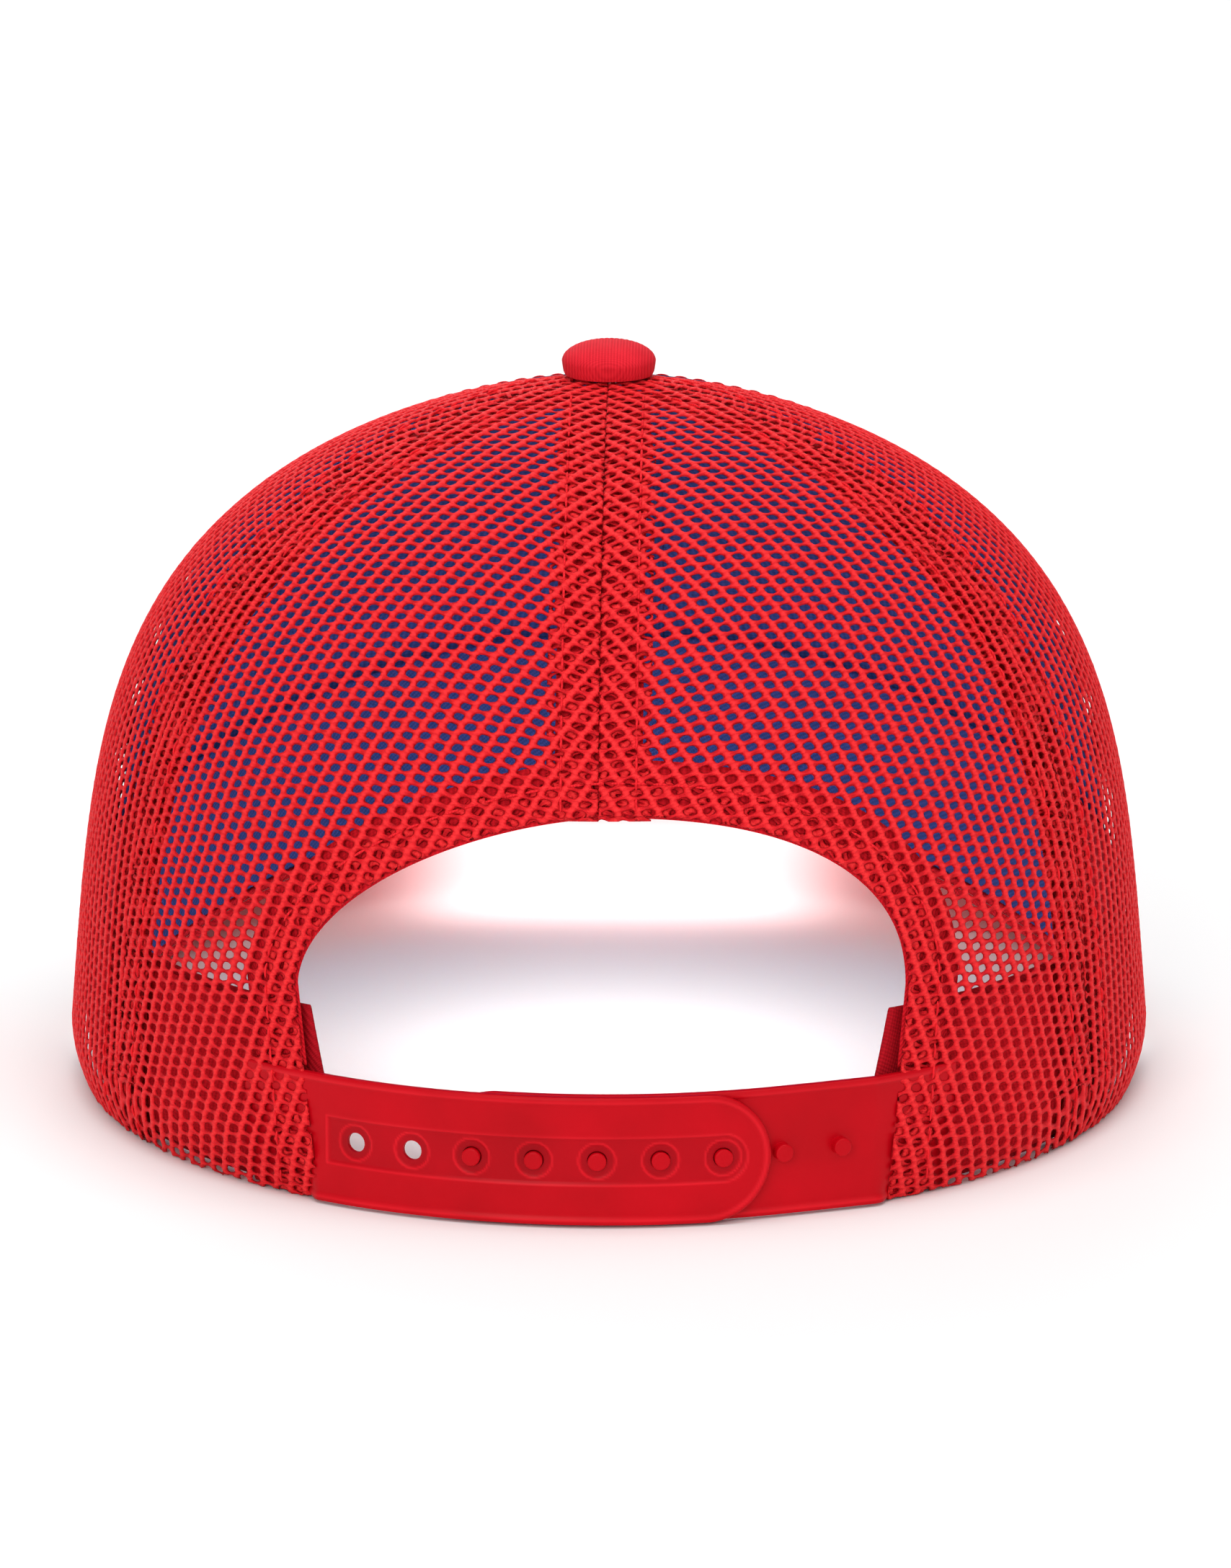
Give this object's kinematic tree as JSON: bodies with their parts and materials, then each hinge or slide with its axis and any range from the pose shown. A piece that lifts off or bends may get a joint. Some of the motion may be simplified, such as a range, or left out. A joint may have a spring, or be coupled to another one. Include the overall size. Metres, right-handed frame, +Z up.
{
  "type": "trucker mesh cap",
  "caption": "Baseball-style cap with a solid front, open knitted mesh sides and back, a curved visor and a plastic snap closure under a rear arch.",
  "frame": {"origin": "centre of the head opening, on the crown's axis, in the plane that the rear rim rests on", "axes": "+Y towards the closure at the back, visor towards -Y, +Z up, +X the wearer's left"},
  "size_m": [0.181, 0.2666, 0.1245],
  "materials": {
    "mesh": "open hexagonal warp knit, matt",
    "front_cloth": "twill, matt",
    "buckram": "stiff open weave, matt",
    "seam_tape": "woven tape, matt",
    "binding": "woven tape, matt",
    "sweatband_cloth": "twill, matt",
    "interlining": "non-woven, matt",
    "visor_cloth": "twill, matt",
    "visor_plastic": "plain",
    "strap_plastic": "satin, moulded",
    "button_cloth": "fine ribbed knit, matt",
    "button_metal": "plain"
  },
  "bodies": {
    "cap": {"rear_mesh_left": "mesh", "rear_mesh_right": "mesh", "side_mesh_left": "mesh", "side_mesh_right": "mesh", "front_panel_left": "front_cloth", "front_panel_right": "front_cloth", "front_buckram_left": "buckram", "front_buckram_right": "buckram", "front_seam_tape": "seam_tape", "side_seam_tape_left": "seam_tape", "side_seam_tape_right": "seam_tape", "arch_tape": "binding", "rear_seam_tape": "binding", "mesh_seam_tape_left": "binding", "mesh_seam_tape_right": "binding", "sweatband": "sweatband_cloth", "sweatband_interlining": "interlining", "visor_top_cover": "visor_cloth", "visor_board": "visor_plastic", "visor_under_cover": "visor_cloth", "hole_strap_tab": "strap_plastic", "peg_strap_tab": "strap_plastic", "button_cover": "button_cloth", "button_shell": "button_metal", "button_plate": "button_metal", "button_rivet": "button_metal"},
    "hole_strap_body": {"hole_strap": "strap_plastic"},
    "peg_strap_body": {"peg_strap": "strap_plastic"}
  },
  "joints": [
    {"name": "hole_strap_swing", "type": "hinge", "parent": "cap", "child": "hole_strap_body", "pos_m": [0.04385, 0.08349, 0.0108], "axis": [0, 0, -1], "range_deg": [0, 60], "stiffness_Nm_per_rad": 0.01},
    {"name": "peg_strap_swing", "type": "hinge", "parent": "cap", "child": "peg_strap_body", "pos_m": [-0.04385, 0.0823, 0.0108], "axis": [0, 0, -1], "range_deg": [0, 30], "stiffness_Nm_per_rad": 0.01}
  ]
}
